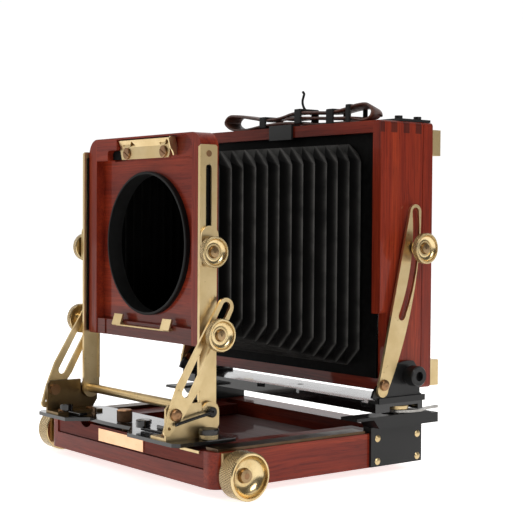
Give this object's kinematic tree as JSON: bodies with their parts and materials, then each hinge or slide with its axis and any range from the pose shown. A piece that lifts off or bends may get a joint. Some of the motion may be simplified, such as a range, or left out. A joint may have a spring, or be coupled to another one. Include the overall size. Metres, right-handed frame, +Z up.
{
  "type": "view camera",
  "caption": "Wooden folding field view camera with brass struts and knobs, pleated bellows, a square lens-board opening and a ground-glass focusing back.",
  "frame": {"origin": "mouth of the tripod socket, in the middle of the bed's underside", "axes": "-Y the way the lens looks, +X to the right seen from the front, +Z up"},
  "size_m": [0.2068, 0.1728, 0.2077],
  "materials": {
    "cherry_wood": "red-brown lacquered hardwood, semi-gloss",
    "brass": "satin lacquered brass",
    "bronze": "darkened brass screws",
    "black_metal": "black satin paint",
    "black_paint": "matt black anodised",
    "steel": "brushed",
    "bellows_cloth": "black coated bellows cloth",
    "strap_leather": "dark brown leather",
    "ground_glass": "ground on one side"
  },
  "bodies": {
    "bed": {"bed_frame": "cherry_wood", "tripod_bush": "brass", "bed_rails": "brass", "side_plates": "black_metal", "side_plate_screws": "brass", "knob_escutcheons": "brass", "rear_bases": "black_metal"},
    "focus_shaft": {"pinion_shaft": "steel", "focus_knob_left": "brass", "focus_knob_right": "brass"},
    "front_slide": {"slide_plate": "cherry_wood", "gear_racks": "brass", "name_plate": "brass", "pivot_post": "brass"},
    "front_lock_knob": {"front_lock_knob": "brass"},
    "front_plate": {"front_swing_plate": "black_metal", "front_brackets": "brass", "bracket_screws": "bronze", "tilt_caps": "black_metal"},
    "side_lock_knob": {"side_lock_knob": "brass"},
    "front_uprights": {"upright_left": "brass", "upright_right": "brass", "cross_tube": "brass"},
    "front_struts": {"front_struts": "brass"},
    "strut_knob_left": {"strut_knob_left": "brass"},
    "strut_knob_right": {"strut_knob_right": "brass"},
    "front_standard": {"lens_frame": "cherry_wood", "lens_ring": "black_paint", "board_rests": "brass", "latch_screws": "brass", "pressure_plates": "brass"},
    "board_latch": {"board_latch": "brass"},
    "rise_knob_left": {"rise_knob_left": "brass"},
    "rise_knob_right": {"rise_knob_right": "brass"},
    "rear_plate": {"rear_swing_plate": "black_metal", "rear_brackets": "black_metal", "rear_strut_screws": "bronze", "box_pivot_bolts": "black_metal"},
    "swing_wheel_left": {"swing_wheel_left": "brass"},
    "swing_wheel_right": {"swing_wheel_right": "brass"},
    "swing_lever": {"swing_lever": "steel"},
    "rear_standard": {"rear_box": "cherry_wood", "back_frame": "cherry_wood", "bed_catch": "black_metal", "back_release": "black_metal", "back_clips": "brass", "carry_strap": "strap_leather"},
    "rear_struts": {"rear_struts": "brass"},
    "rear_knob_left": {"rear_knob_left": "brass"},
    "rear_knob_right": {"rear_knob_right": "brass"},
    "screen_back": {"screen_frame": "cherry_wood", "ground_glass": "ground_glass", "back_springs": "steel"},
    "bellows_undo_tilt": {"bellows_1": "bellows_cloth"},
    "bellows_undo_swing": {"bellows_2": "bellows_cloth"},
    "bellows_focus_rear": {"bellows_3": "bellows_cloth"},
    "bellows_focus_front": {"bellows_4": "bellows_cloth"},
    "bellows_front_swing": {"bellows_5": "bellows_cloth"},
    "bellows_front_tilt": {"bellows_6": "bellows_cloth"},
    "bellows_front_rise": {"bellows_7": "bellows_cloth"}
  },
  "joints": [
    {"name": "focus_slide", "type": "slide", "parent": "bed", "child": "front_slide", "axis": [0, -1, 0], "range_m": [0, 0.09]},
    {"name": "focus_shaft_turn", "type": "hinge", "parent": "bed", "child": "focus_shaft", "pos_m": [0, -0.05975, 0.0078], "axis": [1, 0, 0], "range_deg": [0, 1053]},
    {"name": "front_lock_turn", "type": "hinge", "parent": "front_slide", "child": "front_lock_knob", "pos_m": [-0.0054, -0.06855, 0.0267], "axis": [0, 0, 1], "range_deg": [0, 360]},
    {"name": "front_swing", "type": "hinge", "parent": "front_slide", "child": "front_plate", "pos_m": [0, -0.05945, 0.0222], "axis": [0, 0, 1], "range_deg": [-5, 5]},
    {"name": "side_lock_turn", "type": "hinge", "parent": "front_plate", "child": "side_lock_knob", "pos_m": [0.0676, -0.06375, 0.0258], "axis": [0, 0, 1], "range_deg": [0, 360]},
    {"name": "front_tilt", "type": "hinge", "parent": "front_plate", "child": "front_uprights", "pos_m": [0, -0.05855, 0.036], "axis": [1, 0, 0], "range_deg": [-5.5, 20]},
    {"name": "front_strut_turn", "type": "hinge", "parent": "front_plate", "child": "front_struts", "pos_m": [0, -0.08175, 0.0365], "axis": [1, 0, 0], "range_deg": [-5, 17]},
    {"name": "strut_knob_left_turn", "type": "hinge", "parent": "front_uprights", "child": "strut_knob_left", "pos_m": [-0.069, -0.05855, 0.0763], "axis": [1, 0, 0], "range_deg": [0, 360]},
    {"name": "strut_knob_right_turn", "type": "hinge", "parent": "front_uprights", "child": "strut_knob_right", "pos_m": [0.069, -0.05855, 0.0763], "axis": [1, 0, 0], "range_deg": [0, 360]},
    {"name": "front_rise", "type": "slide", "parent": "front_uprights", "child": "front_standard", "axis": [0, 0, 1], "range_m": [-0.004, 0.035]},
    {"name": "board_latch_slide", "type": "slide", "parent": "front_standard", "child": "board_latch", "axis": [0, 0, -1], "range_m": [0, 0.0015]},
    {"name": "rise_knob_left_turn", "type": "hinge", "parent": "front_standard", "child": "rise_knob_left", "pos_m": [-0.063, -0.05855, 0.1188], "axis": [1, 0, 0], "range_deg": [0, 360]},
    {"name": "rise_knob_right_turn", "type": "hinge", "parent": "front_standard", "child": "rise_knob_right", "pos_m": [0.063, -0.05855, 0.1188], "axis": [1, 0, 0], "range_deg": [0, 360]},
    {"name": "rear_swing", "type": "hinge", "parent": "bed", "child": "rear_plate", "pos_m": [0, 0.05325, 0.0345], "axis": [0, 0, 1], "range_deg": [-5, 5]},
    {"name": "swing_wheel_left_turn", "type": "hinge", "parent": "rear_plate", "child": "swing_wheel_left", "pos_m": [-0.0846, 0.05325, 0.0325], "axis": [0, 0, 1], "range_deg": [0, 360]},
    {"name": "swing_wheel_right_turn", "type": "hinge", "parent": "rear_plate", "child": "swing_wheel_right", "pos_m": [0.0846, 0.05325, 0.0325], "axis": [0, 0, 1], "range_deg": [0, 360]},
    {"name": "swing_lever_turn", "type": "hinge", "parent": "rear_plate", "child": "swing_lever", "pos_m": [0.0846, 0.05325, 0.03], "axis": [0, 0, 1], "range_deg": [-70, 0]},
    {"name": "rear_tilt", "type": "hinge", "parent": "rear_plate", "child": "rear_standard", "pos_m": [0, 0.05375, 0.0505], "axis": [-1, 0, 0], "range_deg": [-4, 12]},
    {"name": "rear_strut_turn", "type": "hinge", "parent": "rear_plate", "child": "rear_struts", "pos_m": [0, 0.03385, 0.0465], "axis": [-1, 0, 0], "range_deg": [-4, 11.5]},
    {"name": "rear_knob_left_turn", "type": "hinge", "parent": "rear_standard", "child": "rear_knob_left", "pos_m": [-0.099, 0.05665, 0.1205], "axis": [1, 0, 0], "range_deg": [0, 360]},
    {"name": "rear_knob_right_turn", "type": "hinge", "parent": "rear_standard", "child": "rear_knob_right", "pos_m": [0.099, 0.05665, 0.1205], "axis": [1, 0, 0], "range_deg": [0, 360]},
    {"name": "screen_back_slide", "type": "slide", "parent": "rear_standard", "child": "screen_back", "axis": [0, 1, 0], "range_m": [0, 0.012], "stiffness_N_per_m": 600, "springref_m": -0.006, "deforming": ["back_springs"]},
    {"name": "bellows_undo_tilt_turn", "type": "hinge", "parent": "rear_standard", "child": "bellows_undo_tilt", "pos_m": [0, 0.05375, 0.0505], "axis": [-1, 0, 0], "range_deg": [-12, 4], "deforming": ["bellows_1"]},
    {"name": "bellows_undo_swing_turn", "type": "hinge", "parent": "bellows_undo_tilt", "child": "bellows_undo_swing", "pos_m": [0, 0.05325, 0.0345], "axis": [0, 0, 1], "range_deg": [-5, 5], "deforming": ["bellows_2"]},
    {"name": "bellows_focus_rear_slide", "type": "slide", "parent": "bellows_undo_swing", "child": "bellows_focus_rear", "axis": [0, -1, 0], "range_m": [0, 0.06], "deforming": ["bellows_3"]},
    {"name": "bellows_focus_front_slide", "type": "slide", "parent": "bellows_focus_rear", "child": "bellows_focus_front", "axis": [0, -1, 0], "range_m": [0, 0.03], "deforming": ["bellows_4"]},
    {"name": "bellows_front_swing_turn", "type": "hinge", "parent": "bellows_focus_front", "child": "bellows_front_swing", "pos_m": [0, -0.05945, 0.0222], "axis": [0, 0, 1], "range_deg": [-5, 5], "deforming": ["bellows_5"]},
    {"name": "bellows_front_tilt_turn", "type": "hinge", "parent": "bellows_front_swing", "child": "bellows_front_tilt", "pos_m": [0, -0.05855, 0.036], "axis": [1, 0, 0], "range_deg": [-5.5, 20], "deforming": ["bellows_6"]},
    {"name": "bellows_front_rise_slide", "type": "slide", "parent": "bellows_front_tilt", "child": "bellows_front_rise", "axis": [0, 0, 1], "range_m": [-0.004, 0.035], "deforming": ["bellows_7"]}
  ],
  "couplings": [
    {"joint": "focus_shaft_turn", "follows": "focus_slide", "rad_per_m": 204.08},
    {"joint": "front_strut_turn", "follows": "front_tilt", "ratio": 0.8},
    {"joint": "rear_strut_turn", "follows": "rear_tilt", "ratio": 0.91},
    {"joint": "bellows_undo_tilt_turn", "follows": "rear_tilt", "ratio": -1},
    {"joint": "bellows_undo_swing_turn", "follows": "rear_swing", "ratio": -1},
    {"joint": "bellows_focus_rear_slide", "follows": "focus_slide", "ratio": 0.66667},
    {"joint": "bellows_focus_front_slide", "follows": "focus_slide", "ratio": 0.33333},
    {"joint": "bellows_front_swing_turn", "follows": "front_swing", "ratio": 1},
    {"joint": "bellows_front_tilt_turn", "follows": "front_tilt", "ratio": 1},
    {"joint": "bellows_front_rise_slide", "follows": "front_rise", "ratio": 1}
  ]
}
